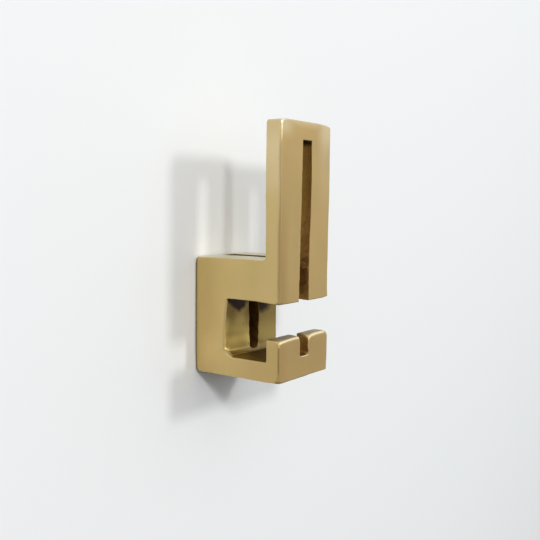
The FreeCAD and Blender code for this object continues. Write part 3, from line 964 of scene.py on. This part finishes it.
def brass():
    """Satin brass, filed and sanded by hand, with its cast skin left in the slot."""
    n = Nodes("satin_cast_brass")
    place = n.add("ShaderNodeTexCoord").outputs["Object"]
    blotches = n.remap(n.noise(place, BLOTCH_SCALE), 0.38, 0.66)
    streaks = n.noise(n.stretched(place, *STREAK_SCALES), 1.0, detail=2.0)
    grain = n.noise(place, GRAIN_SCALE, detail=2.0)
    lumps = n.noise(place, LUMP_SCALE, detail=4.0)
    # Painted shade on edges; it also lowers the metallic and raises the roughness there.
    edge_shade = n.times(n.attribute("edge_shade"), 0.85)
    cast = n.bump(lumps, LUMP_HEIGHT, n.times(n.attribute("slot_skin"), 0.9))
    brushed = n.bump(streaks, STREAK_HEIGHT, FINE_STRENGTH, cast)
    shader = n.add(
        "ShaderNodeBsdfPrincipled",
        Base_Color=brass_colour(n, place, blotches, edge_shade),
        Metallic=n.math("SUBTRACT", 1.0, edge_shade),
        Roughness=brass_roughness(n, blotches, streaks, edge_shade),
        Normal=n.bump(grain, GRAIN_HEIGHT, FINE_STRENGTH, brushed),
    )
    n.add("ShaderNodeOutputMaterial", Surface=shader.outputs[0])
    return n.owner


# The stage, in metres. The wall stands clear of the casting's back, and rays that start closer
# to the wall than the contact reach pass through it.
WALL_GAP = 0.00004
CONTACT_REACH = 0.00014
FLOOR_LEVEL = -0.45
STAGE_REACH = 3.0
WALL_WHITE = (0.90, 0.91, 0.905, 1.0)
FLOOR_SEEN = (0.64, 0.64, 0.63)
FLOOR_THROWN = (0.06, 0.06, 0.06)


def wall_paint():
    """White paint on a wall that shows from in front only, and not to what touches it."""
    n = Nodes("wall_paint")
    facing = n.add("ShaderNodeNewGeometry").outputs["Backfacing"]
    length = n.add("ShaderNodeLightPath").outputs["Ray Length"]
    touching = n.math("LESS_THAN", length, CONTACT_REACH)
    hidden = n.math("MAXIMUM", facing, touching)
    paint = n.add("ShaderNodeBsdfDiffuse", Color=WALL_WHITE)
    clear = n.add("ShaderNodeBsdfTransparent")
    shown = n.add("ShaderNodeMixShader", Fac=hidden, n1=paint.outputs[0], n2=clear.outputs[0])
    n.add("ShaderNodeOutputMaterial", Surface=shown.outputs[0])
    return n.owner


def floor_paint():
    """Pale to the eye and in the brass, and dark to the light that it throws up."""
    n = Nodes("floor_paint")
    path = n.add("ShaderNodeLightPath").outputs
    direct = n.math("LESS_THAN", path["Ray Depth"], 1.5)
    in_brass = n.times(path["Is Glossy Ray"], direct)
    seen = n.math("MAXIMUM", path["Is Camera Ray"], in_brass)
    colour = n.mix(seen, FLOOR_THROWN, FLOOR_SEEN)
    paint = n.add("ShaderNodeBsdfDiffuse", Color=colour)
    n.add("ShaderNodeOutputMaterial", Surface=paint.outputs[0])
    return n.owner


def stage_plane(name, corners, material):
    """One four-cornered face of the stage."""
    mesh = bpy.data.meshes.new(name)
    mesh.from_pydata(corners, [], [(0, 1, 2, 3)])
    mesh.materials.append(material)
    plane = bpy.data.objects.new(name, mesh)
    bpy.context.scene.collection.objects.link(plane)


def build_stage():
    """A pale wall behind the base and a pale floor well below."""
    reach = STAGE_REACH
    wall = ((-reach, WALL_GAP, FLOOR_LEVEL), (reach, WALL_GAP, FLOOR_LEVEL),
            (reach, WALL_GAP, reach), (-reach, WALL_GAP, reach))
    stage_plane("wall", wall, wall_paint())
    floor = ((-reach, -reach, FLOOR_LEVEL), (reach, -reach, FLOOR_LEVEL),
             (reach, reach, FLOOR_LEVEL), (-reach, reach, FLOOR_LEVEL))
    stage_plane("floor", floor, floor_paint())


# The lamps, as the direction they stand in, their distance and size in metres and their power.
RIGHT_BOX = ((0.345, -1.0, 0.41), 2.25, 0.30, 13.0)
LEFT_BOX = ((-0.56, -1.0, 0.48), 2.48, 0.33, 19.0)
LIT_PLACE = (0.0, 0.0, 0.02)

# The room: its light in the brass, with the dim side behind the camera, and its light on the
# wall from low down, from the middle and from above. Heights in it run from -1 to 1.
ROOM_COLOUR = (0.96, 0.98, 1.0, 1.0)
ROOM_LIGHT = 0.72
CEILING_LIGHT = 0.5
DIM_DIRECTION = (-0.81, -0.58, 0.08)
DIM_SIDE = 0.6
LOW_LIGHT, MIDDLE_LIGHT, HIGH_LIGHT = 0.50, 0.93, 0.82


def softbox(name, direction, distance, size, power):
    """Square area lamp that faces the hook from a direction."""
    lamp = bpy.data.lights.new(name, "AREA")
    lamp.size = size
    lamp.energy = power
    box = bpy.data.objects.new(name, lamp)
    towards = Vector(direction).normalized()
    box.location = Vector(LIT_PLACE) + towards * distance
    box.rotation_mode = "QUATERNION"
    box.rotation_quaternion = towards.to_track_quat("Z", "Y")
    bpy.context.scene.collection.objects.link(box)


def build_lights():
    """Two softboxes, and a room that is brighter above and dimmer behind the camera."""
    softbox("right_box", *RIGHT_BOX)
    softbox("left_box", *LEFT_BOX)
    n = Nodes("room", bpy.data.worlds.new("room"))
    path = n.add("ShaderNodeLightPath").outputs
    direction = n.add("ShaderNodeTexCoord").outputs["Generated"]
    settings = {"operation": "DOT_PRODUCT"}
    facing = n.add("ShaderNodeVectorMath", settings, n0=direction, n1=DIM_DIRECTION)
    height = n.add("ShaderNodeSeparateXYZ", Vector=direction).outputs["Z"]
    level = n.math("ADD", ROOM_LIGHT, n.remap(height, 0.1, 0.7, 0.0, CEILING_LIGHT))
    dimmed = n.remap(facing.outputs["Value"], 0.70, 0.94, 0.0, DIM_SIDE)
    in_brass = n.times(n.math("SUBTRACT", level, dimmed), path["Is Glossy Ray"])
    rise = n.remap(height, -0.05, 0.1, LOW_LIGHT, MIDDLE_LIGHT)
    fall = n.remap(height, 0.35, 0.6, 0.0, MIDDLE_LIGHT - HIGH_LIGHT)
    not_glossy = n.math("SUBTRACT", 1.0, path["Is Glossy Ray"])
    on_wall = n.times(n.math("SUBTRACT", rise, fall), not_glossy)
    strength = n.math("MAXIMUM", n.math("ADD", in_brass, on_wall), path["Is Camera Ray"])
    room = n.add("ShaderNodeBackground", Color=ROOM_COLOUR, Strength=strength)
    n.add("ShaderNodeOutputWorld", Surface=room.outputs[0])
    bpy.context.scene.world = n.owner


# The photograph's camera: 540 pixels square, in degrees and millimetres.
IMAGE_SIZE = 540
FOCAL_PIXELS = 793.1
SENSOR = 36.0
YAW, PITCH, ROLL = -54.69, 4.994, 0.694
TARGET = Vector((0.0, -25.0, 34.5))
TARGET_OFFSET = (-5.637, 11.336)
DISTANCE = 419.8


def build_camera():
    """Camera at the photograph's angle, distance and focal length."""
    yaw, pitch, roll = (math.radians(a) for a in (YAW, PITCH, ROLL))
    back = Vector((
        math.sin(yaw) * math.cos(pitch), -math.cos(yaw) * math.cos(pitch), math.sin(pitch)
    ))
    level = Vector((math.cos(yaw), math.sin(yaw), 0.0))
    upright = back.cross(level)
    right = level * math.cos(roll) + upright * math.sin(roll)
    up = upright * math.cos(roll) - level * math.sin(roll)
    across, above = TARGET_OFFSET
    place = TARGET - right * across - up * above + back * DISTANCE
    data = bpy.data.cameras.new("camera")
    data.sensor_width = SENSOR
    data.lens = SENSOR * FOCAL_PIXELS / IMAGE_SIZE
    camera = bpy.data.objects.new("camera", data)
    turn = Matrix((right, up, back)).transposed().to_4x4()
    camera.matrix_world = Matrix.Translation(place * MM) @ turn
    bpy.context.scene.collection.objects.link(camera)
    bpy.context.scene.camera = camera


def main():
    casting = build_casting()
    casting.data.materials.append(brass())
    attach(casting, "root")
    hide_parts(NODE)
    build_stage()
    build_lights()
    build_camera()
    bpy.context.scene.view_settings.view_transform = "Standard"


main()
